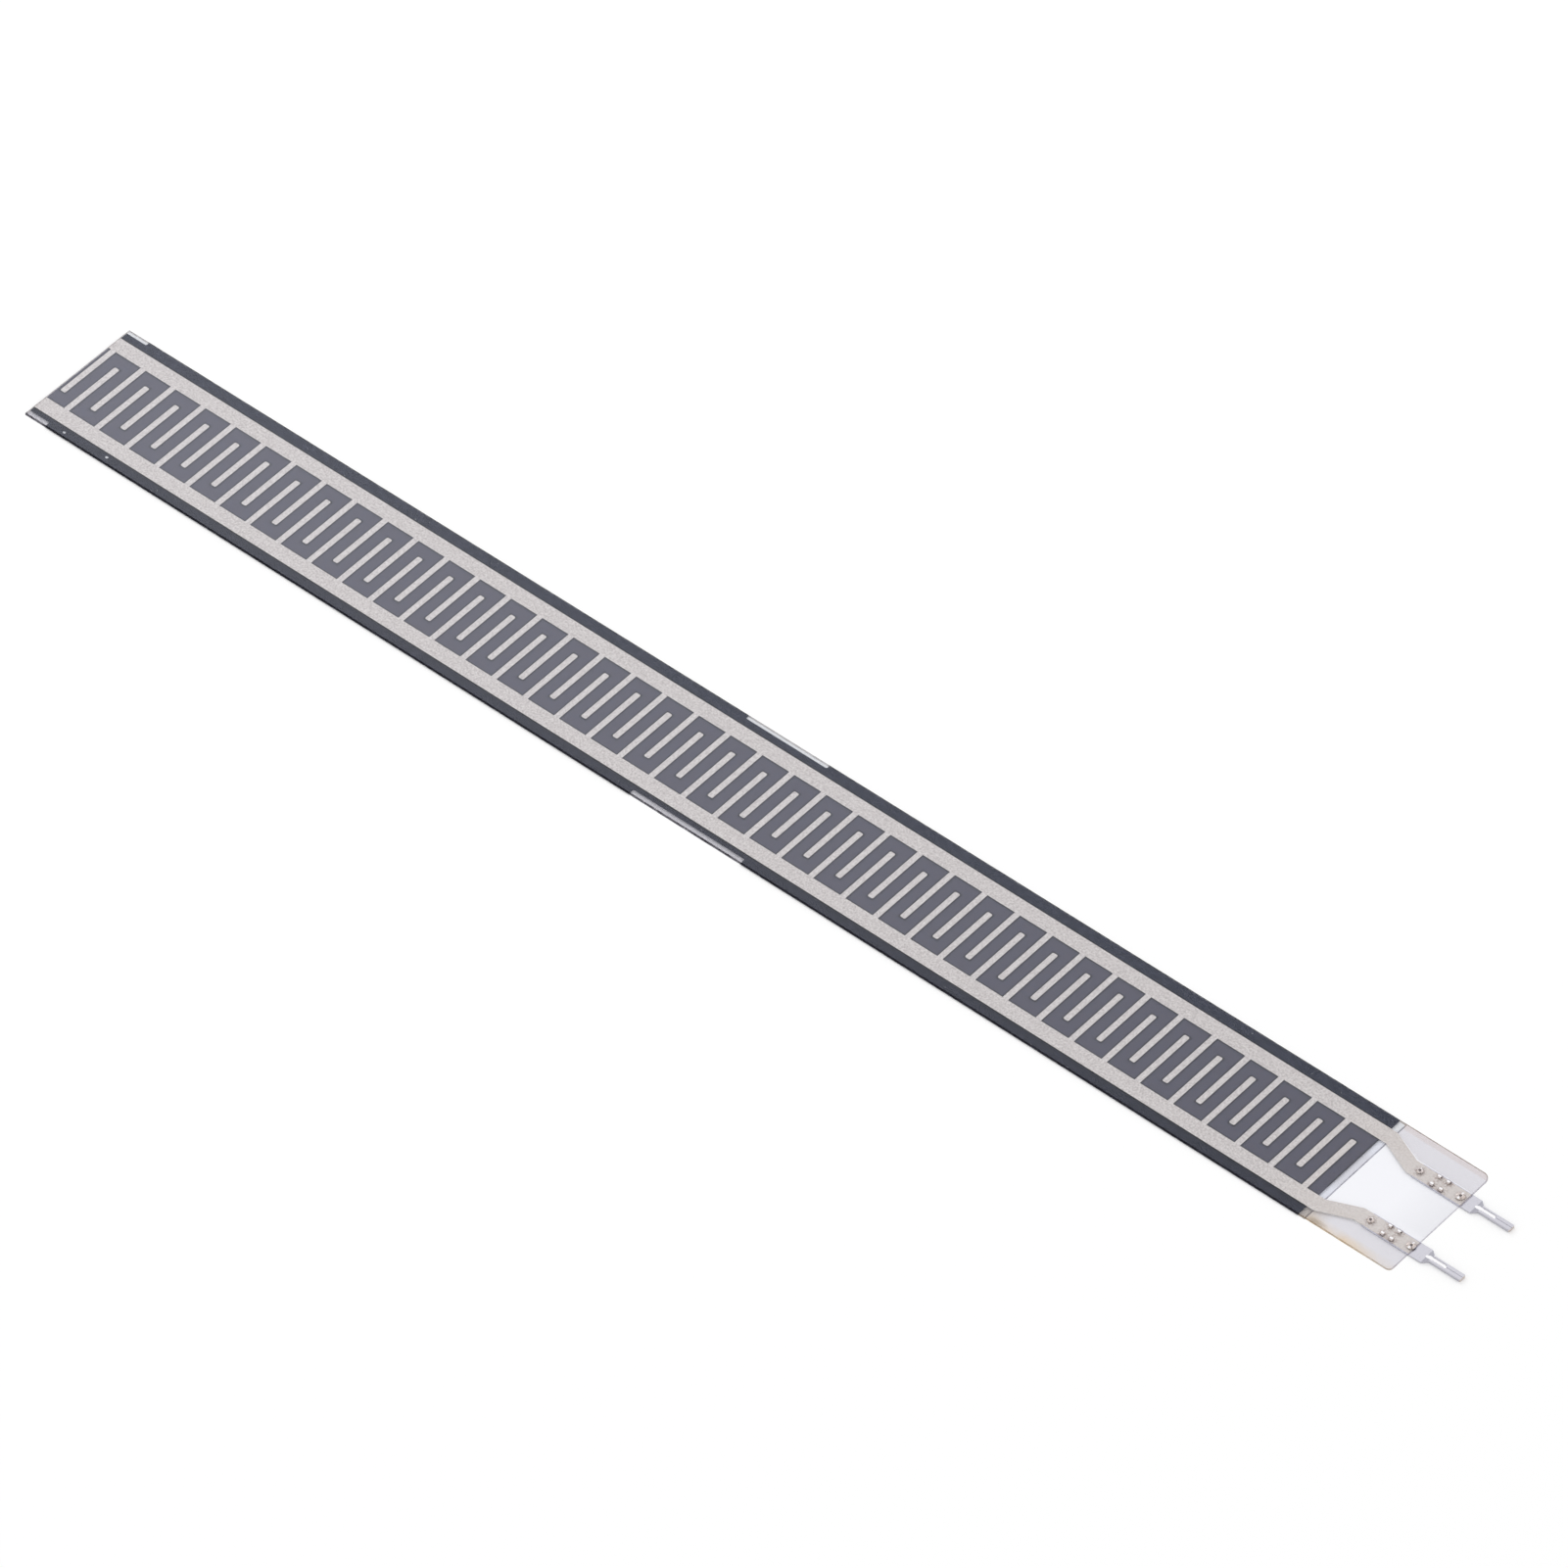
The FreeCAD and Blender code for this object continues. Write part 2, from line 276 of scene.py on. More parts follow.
class InkSettings(bpy.types.PropertyGroup):
    """The printed silver and carbon inks"""

    silver_colour: colour("Silver", "Silver flake ink seen through the film", "DFDAD5")
    silver_speck_colour: colour("Silver speck", "Duller spots where the binder covers the flakes", "ABA39F")
    silver_warm_colour: colour("Silver at the crimp", "Slightly tarnished silver on the tail", "DED5CA")
    silver_ring_colour: colour(
        "Silver round a pierced place", "Where the punched brass cracked and stained the ink", "B4A296"
    )
    silver_grain: length("Silver grain", "Size of the mottling that the screen mesh leaves", 0.2 * MM)
    carbon_dry_colour: colour("Carbon under air", "Matt carbon ink under the air gap", "44414E")
    carbon_wet_colour: colour(
        "Carbon under adhesive", "Carbon ink that the adhesive wets, which looks darker", "171E32"
    )
    carbon_streak_colour: colour("Carbon streak", "Bluish streaks that the squeegee leaves", "42455A")
    edge_shade: share("Edge shade", "How much the silver shades the carbon along its own edges", 0.95)
    edge_shade_reach: length(
        "Edge shade reach",
        "How far that shade reaches, drawn wider than the true 0.1 mm so that a picture can hold it",
        0.3 * MM,
    )
    carbon_grain: length(
        "Carbon grain", "Size of the ink's grains, drawn coarser than the true ones to show", 0.12 * MM
    )
    carbon_streak: length("Carbon streak width", "Distance between squeegee streaks", 0.35 * MM)


class AdhesiveSettings(bpy.types.PropertyGroup):
    """The spacer adhesive"""

    tint: colour("Tint on the tail", "What the adhesive lets through at each of its faces", "F2F1F2")
    left_tint: colour(
        "Tint along the body's left",
        "Where bare places in the carbon let it show, over the lit floor",
        "FDFDFA",
    )
    # Painted shade: darker on the right, where the floor under the strip lies in its shade
    right_shade_tint: colour("Tint along the body's right", "The same over floor that the strip shades", "E9E7E6")
    # Painted reflection: the dark of the ink that the cut edge mirrors is drawn into what it lets through
    rim_reflection_tint: colour(
        "Tint at the body's cut edge",
        "The clean-cut edge, which picks up the dark of the ink beside it",
        "77757C",
    )
    aged_colour: colour("Aged", "Adhesive along the tail's left side, slightly browned", "EFEBEA")
    aged_width: length("Aged width", "How far that side's aged edge reaches in", 0.5 * MM)
    amber_colour: colour("Amber", "Adhesive along the tail's right side, aged further", "F2E5D1")
    amber_width: length("Amber width", "How far that side's aged edge reaches in", 1.2 * MM)
    # Partly painted shadow: the blot also stands for the shade under the trace
    creep_and_shade_colour: colour(
        "Crept adhesive", "A grey-brown blot along the edge, from the carbon's end on, on the right", "D8CFC3"
    )
    creep_and_shade_reach: length(
        "Crept reach", "How far that blot reaches along the edge; it is a third as wide", 1.7 * MM
    )


class BubbleSettings(bpy.types.PropertyGroup):
    """The air caught in the adhesive"""

    count: bpy.props.IntProperty(
        name="Count", description="Tiny air bubbles trapped under each rim", min=0, default=18
    )
    radius: length(
        "Radius", "Tiny bubbles have a fifth to a half of it, and the two large ones twice", 0.085 * MM
    )
    seed: bpy.props.IntProperty(name="Seed", description="Picks where the bubbles lie", default=4)
    # Painted reflection: the white of a bubble's skin
    bright: colour("Bright skin", "Where the bubble throws back the light", "F4F6F8")
    dull: colour("Dull skin", "Where it throws back less", "B8BEC4")


class TerminalSettings(bpy.types.PropertyGroup):
    """The two tinned crimp terminals"""

    tin_colour: colour("Tin", "Matt tin plate over brass", "C1C0C8")
    # Partly painted highlight: near-white metal for the trough's streak and the glints on the curl tops
    burnished_glint_colour: colour(
        "Burnished tin", "Where the punch that pressed the trough polished it", "FBFAFC"
    )
    # Also painted shade on the trough's walls
    crease_and_shade_colour: colour("Creased tin", "Where the wings fold up and the plating dulls", "8F8F9A")
    stain_colour: colour("Stain", "Brownish tarnish where the strip was pierced and curled", "D2C4BB")
    torn_colour: colour("Torn brass", "Bare brass at the torn and sheared edges, gone dull", "D6CAC2")
    roughness: share("Roughness", "Of the rolled and tinned sheet", 0.3)
    edge_radius: length("Edge radius", "Rounding of the stamped edges", 0.02 * MM)
    grain: length("Grain", "Distance between the fine rolling marks", 0.05 * MM)


class StageSettings(bpy.types.PropertyGroup):
    """Floor, light and camera"""

    floor_colour: colour("Floor", "White sweep", "F6F6F6")
    floor_size: length("Floor size", "Side of the floor", 4.0)
    floor_drop: length(
        "Floor drop", "How far the floor lies below the strip, which is never quite flat", 0.04 * MM
    )
    floor_lift: bpy.props.FloatProperty(
        name="Floor lift",
        description="What the floor adds to its lit colour, to read as white",
        min=0,
        default=0.12,
    )
    room_level: bpy.props.FloatProperty(
        name="Room level", description="Even light from all round", min=0, default=0.88
    )
    panel_power: bpy.props.FloatProperty(
        name="Panel power",
        description="Of the soft panel behind the far side",
        unit="POWER",
        min=0,
        default=4.2,
    )
    panel_size: length("Panel size", "Side of the soft panel", 0.9)
    panel_place: place("Panel place", "Middle of the soft panel, which faces the strip", (-1.15, 0.65, 1.0))
    camera_azimuth: angle(
        "Camera azimuth", "Where the camera looks from: 0 looks along the strip's width", 41.307
    )
    camera_elevation: angle("Camera elevation", "Above the horizon", 47.131)
    camera_roll: angle("Camera roll", "About the line of sight", -0.831)
    camera_distance: length("Camera distance", "From the middle of the picture", 1.17236)
    camera_aim: place("Camera aim", "The point in the middle of the picture", (0.00049, 0.00305, 0.0))
    camera_lens: bpy.props.FloatProperty(
        name="Focal length", description="In millimetres on a 36 mm sensor", min=1, default=283.03
    )


# Materials


def polyester_film(settings, name, tint, gap_mirror, shade_tint, shade_from, shade_to):
    """Stretched polyester sheet with calendered faces. It is clear and glossy, so it veils what lies under it
    with the light of the room. Over the strip's middle, from one given place on, it lets through a darker
    tint, a painted shade."""
    material, tree = empty_material(name)
    point, x, y, _ = point_and_axes(tree)
    from_middle = add_node(tree, "ShaderNodeMath", [y], operation="ABSOLUTE")
    ripples = add_node(
        tree, "ShaderNodeTexNoise", {"Vector": point, "Scale": 1 / settings.ripple_size, "Detail": 1.0}
    )
    waved = add_node(tree, "ShaderNodeBump", {"Height": ripples, "Strength": 0.25, "Distance": 0.05 * MM})
    mirror = add_node(tree, "ShaderNodeFresnel", {"IOR": settings.index, "Normal": waved})
    inside = add_node(tree, "ShaderNodeNewGeometry").outputs["Backfacing"]
    over_air = add_node(tree, "ShaderNodeMath", [from_middle, BUS_INNER], operation="LESS_THAN")
    underside = add_node(tree, "ShaderNodeMath", [over_air, gap_mirror], operation="MULTIPLY")
    amount = add_node(tree, "ShaderNodeMix", [inside, mirror, underside])
    # Painted shade: along the strip from one given place to another, and over its middle, the sheet lets
    # through a darker tint
    toward_end = add_node(
        tree, "ShaderNodeMapRange", {"Value": x, "From Min": shade_from, "From Max": shade_to}
    )
    between_crimps = add_node(
        tree,
        "ShaderNodeMapRange",
        {"Value": from_middle, "From Min": CRIMP_SHADE_HALF_WIDTH + 1 * MM, "From Max": CRIMP_SHADE_HALF_WIDTH},
    )
    worn = add_node(tree, "ShaderNodeMath", [toward_end, between_crimps], operation="MULTIPLY")
    passes = add_node(tree, "ShaderNodeMix", [worn, tint, shade_tint], data_type="RGBA")
    clear = add_node(tree, "ShaderNodeBsdfTransparent", {"Color": passes})
    gloss = add_node(
        tree,
        "ShaderNodeBsdfGlossy",
        {"Color": settings.gloss_colour, "Roughness": settings.gloss_roughness, "Normal": waved},
    )
    sheet = add_node(tree, "ShaderNodeMixShader", [amount, clear, gloss])
    add_node(tree, "ShaderNodeOutputMaterial", {"Surface": sheet})
    return material


def sheared_edge(settings):
    """Polyester cut by a die. The torn edge bends and scatters light, so it draws a thin line, and that line
    is painted into
    what the edge lets through: dark over ink, a painted reflection of the ink; grey over bare film, where
    painted light from the window lifts it; brown on the tail."""
    material, tree = empty_material("sheared_polyester_edge")
    point, x, y, _ = point_and_axes(tree)
    from_middle = add_node(tree, "ShaderNodeMath", [y], operation="ABSOLUTE")
    on_left = add_node(tree, "ShaderNodeMath", [y, 0.0], operation="GREATER_THAN")
    on_tail = add_node(tree, "ShaderNodeMath", [x, CARBON_END], operation="GREATER_THAN")
    in_window = add_node(tree, "ShaderNodeMath", [x, WINDOW_MIDDLE, WINDOW_REACH], operation="COMPARE")
    at_cut = add_node(tree, "ShaderNodeMath", [x, END_WINDOW], operation="LESS_THAN")
    in_any = add_node(tree, "ShaderNodeMath", [in_window, at_cut], operation="MAXIMUM")
    bare = add_node(tree, "ShaderNodeMath", [in_any, on_left], operation="MULTIPLY")
    inside_long_edges = FILM_EDGE - 0.3 * MM
    across = add_node(tree, "ShaderNodeMath", [from_middle, inside_long_edges], operation="LESS_THAN")
    # Painted reflection of the ink along the body, and painted light along its bare places
    body = add_node(tree, "ShaderNodeMix", [bare, settings.body_reflection_line, settings.bare_light_line], data_type="RGBA")
    tail = add_node(
        tree, "ShaderNodeMix", [on_left, settings.right_tail_line, settings.left_tail_line], data_type="RGBA"
    )
    side = add_node(tree, "ShaderNodeMix", [on_tail, body, tail], data_type="RGBA")
    past_backing = BACKING_END + 1 * MM
    at_end = add_node(tree, "ShaderNodeMath", [x, past_backing], operation="GREATER_THAN")
    inner_end = add_node(
        tree, "ShaderNodeMix", [on_tail, settings.cut_end_line, settings.backing_end_line], data_type="RGBA"
    )
    end = add_node(tree, "ShaderNodeMix", [at_end, inner_end, settings.tail_end_line], data_type="RGBA")
    line = add_node(tree, "ShaderNodeMix", [across, side, end], data_type="RGBA")
    tears = add_node(tree, "ShaderNodeTexNoise", {"Vector": point, "Scale": 1 / (0.6 * MM), "Detail": 3.0})
    worn = add_node(
        tree, "ShaderNodeMapRange", {"Value": tears, "From Min": 0.4, "From Max": 0.8, "To Max": 0.6}
    )
    broken = add_node(tree, "ShaderNodeMix", [worn, line, settings.tint], data_type="RGBA")
    clear = add_node(tree, "ShaderNodeBsdfTransparent", {"Color": broken})
    frost = add_node(tree, "ShaderNodeBsdfDiffuse", {"Color": line, "Roughness": 0.5})
    edge = add_node(tree, "ShaderNodeMixShader", [settings.frost, clear, frost])
    add_node(tree, "ShaderNodeOutputMaterial", {"Surface": edge})
    return material


def printed_silver(settings):
    """Screen-printed silver flake ink, cured on film: pale warm grey and matt, with a fine mottle from the
    screen mesh."""
    material, tree = empty_material("printed_silver_ink")
    point, x, y, _ = point_and_axes(tree)
    mottle = add_node(
        tree,
        "ShaderNodeTexNoise",
        {"Vector": point, "Scale": 1 / settings.silver_grain, "Detail": 3.0, "Roughness": 0.6},
    )
    spotted = add_node(tree, "ShaderNodeMapRange", {"Value": mottle, "From Min": 0.35, "From Max": 0.75})
    ink = add_node(
        tree,
        "ShaderNodeMix",
        [spotted, settings.silver_colour, settings.silver_speck_colour],
        data_type="RGBA",
    )
    on_tail = add_node(
        tree,
        "ShaderNodeMapRange",
        {"Value": x, "From Min": CARBON_END - 6 * MM, "From Max": TERMINAL_START, "To Max": 0.6},
    )
    warmed = add_node(tree, "ShaderNodeMix", [on_tail, ink, settings.silver_warm_colour], data_type="RGBA")
    # The two crimps are alike but staggered, so one is folded onto the other to measure the way to the
    # nearest pierced place.
    side = add_node(tree, "ShaderNodeMath", [y], operation="SIGN")
    unstaggered = add_node(tree, "ShaderNodeMath", [side, TERMINAL_STAGGER / 2, x], operation="MULTIPLY_ADD")
    folded = add_node(tree, "ShaderNodeMath", [y], operation="ABSOLUTE")
    spot = add_node(tree, "ShaderNodeCombineXYZ", [unstaggered, folded])
    nearest = None
    for along, off in PIERCED:
        centre = (TERMINAL_START + TERMINAL_STAGGER / 2 + along * MM, TERMINAL_MIDDLE + off * MM, 0)
        away = add_node(tree, "ShaderNodeVectorMath", [spot, centre], operation="DISTANCE")
        if nearest:
            away = add_node(tree, "ShaderNodeMath", [nearest, away], operation="MINIMUM")
        nearest = away
    cracked = add_node(
        tree,
        "ShaderNodeMapRange",
        {"Value": nearest, "From Min": 0.8 * MM, "From Max": 0.3 * MM},
        interpolation_type="SMOOTHSTEP",
    )
    tarnish = add_node(tree, "ShaderNodeTexNoise", {"Vector": point, "Scale": 1 / (0.2 * MM), "Detail": 3.0})
    patchy = add_node(tree, "ShaderNodeMapRange", {"Value": tarnish, "From Min": 0.42, "From Max": 0.62})
    ringed = add_node(tree, "ShaderNodeMath", [cracked, patchy], operation="MULTIPLY")
    ringed_ink = add_node(
        tree, "ShaderNodeMix", [ringed, warmed, settings.silver_ring_colour], data_type="RGBA"
    )
    grain = add_node(tree, "ShaderNodeBump", {"Height": mottle, "Strength": 0.3, "Distance": 0.004 * MM})
    surface = add_node(
        tree,
        "ShaderNodeBsdfPrincipled",
        {"Base Color": ringed_ink, "Metallic": 0.12, "Roughness": 0.55, "Normal": grain},
    )
    add_node(tree, "ShaderNodeOutputMaterial", {"Surface": surface})
    return material


def printed_carbon(settings):
    """Screen-printed carbon ink: matt blue-black grains in a binder, greyer under the air gap than where
    adhesive or film wets it."""
    material, tree = empty_material("printed_carbon_ink")
    point, x, y, _ = point_and_axes(tree)
    from_middle = add_node(tree, "ShaderNodeMath", [y], operation="ABSOLUTE")
    nearest = add_node(tree, "ShaderNodeMath", [BUS_INNER, from_middle], operation="SUBTRACT")
    for first, side in ((FIRST_FINGER, -1), (FIRST_FINGER + COMB_PITCH / 2, 1)):
        # Whole pitches keep the number above zero, and the half puts a finger's middle in mid turn.
        shift = COMB_PITCH * 50.5 - first - FINGER_WIDTH / 2
        shifted = add_node(tree, "ShaderNodeMath", [x, shift], operation="ADD")
        turned = add_node(tree, "ShaderNodeMath", [shifted, COMB_PITCH], operation="MODULO")
        centred = add_node(tree, "ShaderNodeMath", [turned, COMB_PITCH / 2], operation="SUBTRACT")
        off_axis = add_node(tree, "ShaderNodeMath", [centred], operation="ABSOLUTE")
        beside = add_node(tree, "ShaderNodeMath", [off_axis, FINGER_WIDTH / 2], operation="SUBTRACT")
        past_tip = add_node(tree, "ShaderNodeMath", [y, side, -FINGER_REACH], operation="MULTIPLY_ADD")
        away = add_node(tree, "ShaderNodeMath", [beside, past_tip], operation="MAXIMUM")
        nearest = add_node(tree, "ShaderNodeMath", [nearest, away], operation="MINIMUM")
    bus_outside = add_node(tree, "ShaderNodeMath", [from_middle, BUS_OUTER], operation="SUBTRACT")
    nearest = add_node(tree, "ShaderNodeMath", [nearest, bus_outside], operation="MAXIMUM")
    shaded = add_node(
        tree,
        "ShaderNodeMapRange",
        {"Value": nearest, "From Max": settings.edge_shade_reach, "To Min": 1 - settings.edge_shade},
        interpolation_type="SMOOTHSTEP",
    )
    underneath = add_node(tree, "ShaderNodeMath", [facing_up(tree), -UPRIGHT], operation="LESS_THAN")
    lit = add_node(tree, "ShaderNodeMath", [shaded, underneath], operation="MAXIMUM")
    rim_start = BUS_OUTER - 0.5 * MM
    by_rim = add_node(tree, "ShaderNodeMath", [from_middle, rim_start], operation="GREATER_THAN")
    wetted = add_node(tree, "ShaderNodeMath", [by_rim, underneath], operation="MAXIMUM")
    ink = add_node(
        tree,
        "ShaderNodeMix",
        [wetted, settings.carbon_dry_colour, settings.carbon_wet_colour],
        data_type="RGBA",
    )
    drawn_out = add_node(tree, "ShaderNodeMapping", {"Vector": point, "Scale": (0.6, 1.0, 1.0)})
    streaks = add_node(
        tree, "ShaderNodeTexNoise", {"Vector": drawn_out, "Scale": 1 / settings.carbon_streak, "Detail": 4.0}
    )
    streaked = add_node(
        tree, "ShaderNodeMapRange", {"Value": streaks, "From Min": 0.42, "From Max": 0.75, "To Max": 0.5}
    )
    shade = add_node(tree, "ShaderNodeMix", [streaked, ink, settings.carbon_streak_colour], data_type="RGBA")
    under_silver = add_node(tree, "ShaderNodeMix", [1.0, shade, lit], data_type="RGBA", blend_type="MULTIPLY")
    grains = add_node(
        tree, "ShaderNodeTexNoise", {"Vector": point, "Scale": 1 / settings.carbon_grain, "Detail": 2.0}
    )
    rough = add_node(tree, "ShaderNodeMapRange", {"Value": grains, "To Min": 0.5, "To Max": 0.75})
    relief = add_node(tree, "ShaderNodeBump", {"Height": grains, "Strength": 0.35, "Distance": 0.006 * MM})
    surface = add_node(
        tree,
        "ShaderNodeBsdfPrincipled",
        {"Base Color": under_silver, "Roughness": rough, "Specular IOR Level": 0.05, "Normal": relief},
    )
    add_node(tree, "ShaderNodeOutputMaterial", {"Surface": surface})
    return material


def spacer_adhesive(settings):
    """Pressure-sensitive acrylic adhesive, die cut: clear, nearly neutral along the body, and amber where the
    tail's right edge has aged. Along the body's right it passes a darker tint, painted shade of the floor
    under the strip;
    its cut edge carries a painted reflection of the ink, and the crept blot on the tail's right is partly
    painted shadow."""
    material, tree = empty_material("acrylic_spacer_adhesive")
    point, x, y, _ = point_and_axes(tree)
    on_left = add_node(tree, "ShaderNodeMath", [y, 0.0], operation="GREATER_THAN")
    on_right = add_node(tree, "ShaderNodeMath", [y, 0.0], operation="LESS_THAN")
    # The body's two sides, the right one darker as painted shade, their cut edge with a painted reflection of
    # the ink, and the tail with its browned left side
    body = add_node(
        tree, "ShaderNodeMix", [on_left, settings.right_shade_tint, settings.left_tint], data_type="RGBA"
    )
    upright = add_node(tree, "ShaderNodeMath", [facing_up(tree), 0.0, UPRIGHT], operation="COMPARE")
    from_middle = add_node(tree, "ShaderNodeMath", [y], operation="ABSOLUTE")
    # Painted reflection of the ink along the body's cut edge
    rim = FILM_EDGE - 0.05 * MM
    outermost = add_node(tree, "ShaderNodeMath", [from_middle, rim], operation="GREATER_THAN")
    at_rim = add_node(tree, "ShaderNodeMath", [upright, outermost], operation="MULTIPLY")
    edged = add_node(tree, "ShaderNodeMix", [at_rim, body, settings.rim_reflection_tint], data_type="RGBA")
    aged_from = FILM_EDGE - settings.aged_width
    browned = add_node(
        tree, "ShaderNodeMapRange", {"Value": y, "From Min": aged_from - 0.2 * MM, "From Max": aged_from}
    )
    tail = add_node(tree, "ShaderNodeMix", [browned, settings.tint, settings.aged_colour], data_type="RGBA")
    past_body = add_node(tree, "ShaderNodeMath", [x, BACKING_END], operation="GREATER_THAN")
    glue_colour = add_node(tree, "ShaderNodeMix", [past_body, edged, tail], data_type="RGBA")
    # The amber along the tail's right side, in patches, weaker towards the film's end
    at_edge = add_node(
        tree,
        "ShaderNodeMapRange",
        {"Value": y, "From Min": settings.amber_width - FILM_EDGE, "From Max": -FILM_EDGE},
    )
    on_tail = add_node(
        tree, "ShaderNodeMapRange", {"Value": x, "From Min": CARBON_END, "From Max": CARBON_END + 1.5 * MM}
    )
    before_end = add_node(
        tree,
        "ShaderNodeMapRange",
        {"Value": x, "From Min": FILM_END - 1 * MM, "From Max": FILM_END - 5 * MM, "To Min": 0.35},
    )
    patches = add_node(tree, "ShaderNodeTexNoise", {"Vector": point, "Scale": 1 / (2.5 * MM), "Detail": 2.0})
    patchy = add_node(
        tree, "ShaderNodeMapRange", {"Value": patches, "From Min": 0.35, "From Max": 0.6, "To Min": 0.45}
    )
    amber = at_edge
    for part in (on_tail, before_end, patchy):
        amber = add_node(tree, "ShaderNodeMath", [amber, part], operation="MULTIPLY")
    yellowed = add_node(tree, "ShaderNodeMix", [amber, glue_colour, settings.amber_colour], data_type="RGBA")
    # The blot of crept adhesive, partly painted shadow under the trace: drawn out along the right edge, on a
    # paler band of painted shade that fades into the tail
    blot_middle = BACKING_END + 0.9 * MM
    blot_inset = 0.35 * MM
    drawn_out = add_node(
        tree,
        "ShaderNodeMapping",
        {"Vector": point, "Location": (-blot_middle, 3 * (FILM_EDGE - blot_inset), 0), "Scale": (1, 3, 0)},
    )
    from_blot = add_node(tree, "ShaderNodeVectorMath", [drawn_out], operation="LENGTH")
    blot = add_node(
        tree,
        "ShaderNodeMapRange",
        {"Value": from_blot, "From Min": settings.creep_and_shade_reach, "From Max": 0.2 * MM},
    )
    fading = add_node(
        tree,
        "ShaderNodeMapRange",
        {"Value": x, "From Min": blot_middle + 1.2 * MM, "From Max": blot_middle - 0.9 * MM, "To Max": 0.5},
    )
    shade_band = add_node(tree, "ShaderNodeMath", [fading, on_right], operation="MULTIPLY")
    spread = add_node(tree, "ShaderNodeMath", [blot, shade_band], operation="MAXIMUM")
    past_carbon = add_node(tree, "ShaderNodeMath", [x, CARBON_END], operation="GREATER_THAN")
    crept = add_node(tree, "ShaderNodeMath", [spread, past_carbon], operation="MULTIPLY")
    passes = add_node(tree, "ShaderNodeMix", [crept, yellowed, settings.creep_and_shade_colour], data_type="RGBA")
    clear = add_node(tree, "ShaderNodeBsdfTransparent", {"Color": passes})
    haze = add_node(tree, "ShaderNodeBsdfDiffuse", {"Color": passes, "Roughness": 0.4})
    cloud = add_node(tree, "ShaderNodeTexNoise", {"Vector": point, "Scale": 1 / (0.4 * MM), "Detail": 3.0})
    hazed = add_node(tree, "ShaderNodeMapRange", {"Value": cloud, "To Min": 0.0, "To Max": 0.004})
    glue = add_node(tree, "ShaderNodeMixShader", [hazed, clear, haze])
    add_node(tree, "ShaderNodeOutputMaterial", {"Surface": glue})
    return material


def trapped_air(settings):
    """Air caught in the adhesive when the films were pressed together: its round skin throws back the light
    as a white speck, drawn as a painted reflection in a whitish colour."""
    material, tree = empty_material("trapped_air")
    point = add_node(tree, "ShaderNodeTexCoord").outputs["Object"]
    cloud = add_node(tree, "ShaderNodeTexNoise", {"Vector": point, "Scale": 1 / (0.6 * MM)})
    whitish = add_node(tree, "ShaderNodeMix", [cloud, settings.bright, settings.dull], data_type="RGBA")
    surface = add_node(tree, "ShaderNodeBsdfPrincipled", {"Base Color": whitish, "Roughness": 0.25})
    add_node(tree, "ShaderNodeOutputMaterial", {"Surface": surface})
    return material


def tinned_brass(settings):
    """Rolled brass strip, stamped, folded and tin plated: a soft grey metal with fine rolling marks and a
    little tarnish at the crimp."""
    material, tree = empty_material("matt_tinned_brass")
    point, x, _, z = point_and_axes(tree)
    along = add_node(tree, "ShaderNodeMapping", {"Vector": point, "Scale": (0.08, 1.0, 1.0)})
    rolled = add_node(
        tree, "ShaderNodeTexNoise", {"Vector": along, "Scale": 1 / settings.grain, "Detail": 2.0}
    )
    blotches = add_node(tree, "ShaderNodeTexNoise", {"Vector": point, "Scale": 1 / (0.5 * MM), "Detail": 3.0})
    foot = add_node(
        tree,
        "ShaderNodeMapRange",
        {"Value": z, "From Min": FILM_TOP + 0.45 * MM, "From Max": FILM_TOP + 0.05 * MM, "To Max": 1.6},
    )
    pierces = add_node(tree, "ShaderNodeMath", [z, FILM_UNDERSIDE], operation="GREATER_THAN")
    in_film = add_node(tree, "ShaderNodeMath", [x, FILM_END], operation="LESS_THAN")
    curled = add_node(tree, "ShaderNodeMath", [foot, pierces], operation="MULTIPLY")
    crimped = add_node(tree, "ShaderNodeMath", [curled, in_film], operation="MULTIPLY")
    stained = add_node(tree, "ShaderNodeMath", [blotches, crimped], operation="MULTIPLY")
    plate = add_node(
        tree, "ShaderNodeMix", [stained, settings.tin_colour, settings.stain_colour], data_type="RGBA"
    )
    rough = add_node(
        tree,
        "ShaderNodeMapRange",
        {"Value": blotches, "To Min": settings.roughness - 0.1, "To Max": settings.roughness + 0.12},
    )
    marks = add_node(tree, "ShaderNodeBump", {"Height": rolled, "Strength": 0.25, "Distance": 0.004 * MM})
    surface = add_node(
        tree,
        "ShaderNodeBsdfPrincipled",
        {"Base Color": plate, "Metallic": 1.0, "Roughness": rough, "Normal": marks},
    )
    add_node(tree, "ShaderNodeOutputMaterial", {"Surface": surface})
    return material


def torn_brass(settings):
    """Bare brass where the strip tore or was sheared: rough, dull brown-grey, with tin dragged over it in
    streaks."""
    material, tree = empty_material("torn_brass")
    point = add_node(tree, "ShaderNodeTexCoord").outputs["Object"]
    upward = add_node(tree, "ShaderNodeMapping", {"Vector": point, "Scale": (1.0, 1.0, 0.3)})
    drags = add_node(tree, "ShaderNodeTexNoise", {"Vector": upward, "Scale": 1 / (0.06 * MM), "Detail": 2.0})
    dragged = add_node(
        tree, "ShaderNodeMapRange", {"Value": drags, "From Min": 0.45, "From Max": 0.75, "To Max": 0.6}
    )
    bared = add_node(
        tree, "ShaderNodeMix", [dragged, settings.torn_colour, settings.tin_colour], data_type="RGBA"
    )
    surface = add_node(
        tree, "ShaderNodeBsdfPrincipled", {"Base Color": bared, "Metallic": 0.8, "Roughness": 0.55}
    )
    add_node(tree, "ShaderNodeOutputMaterial", {"Surface": surface})
    return material


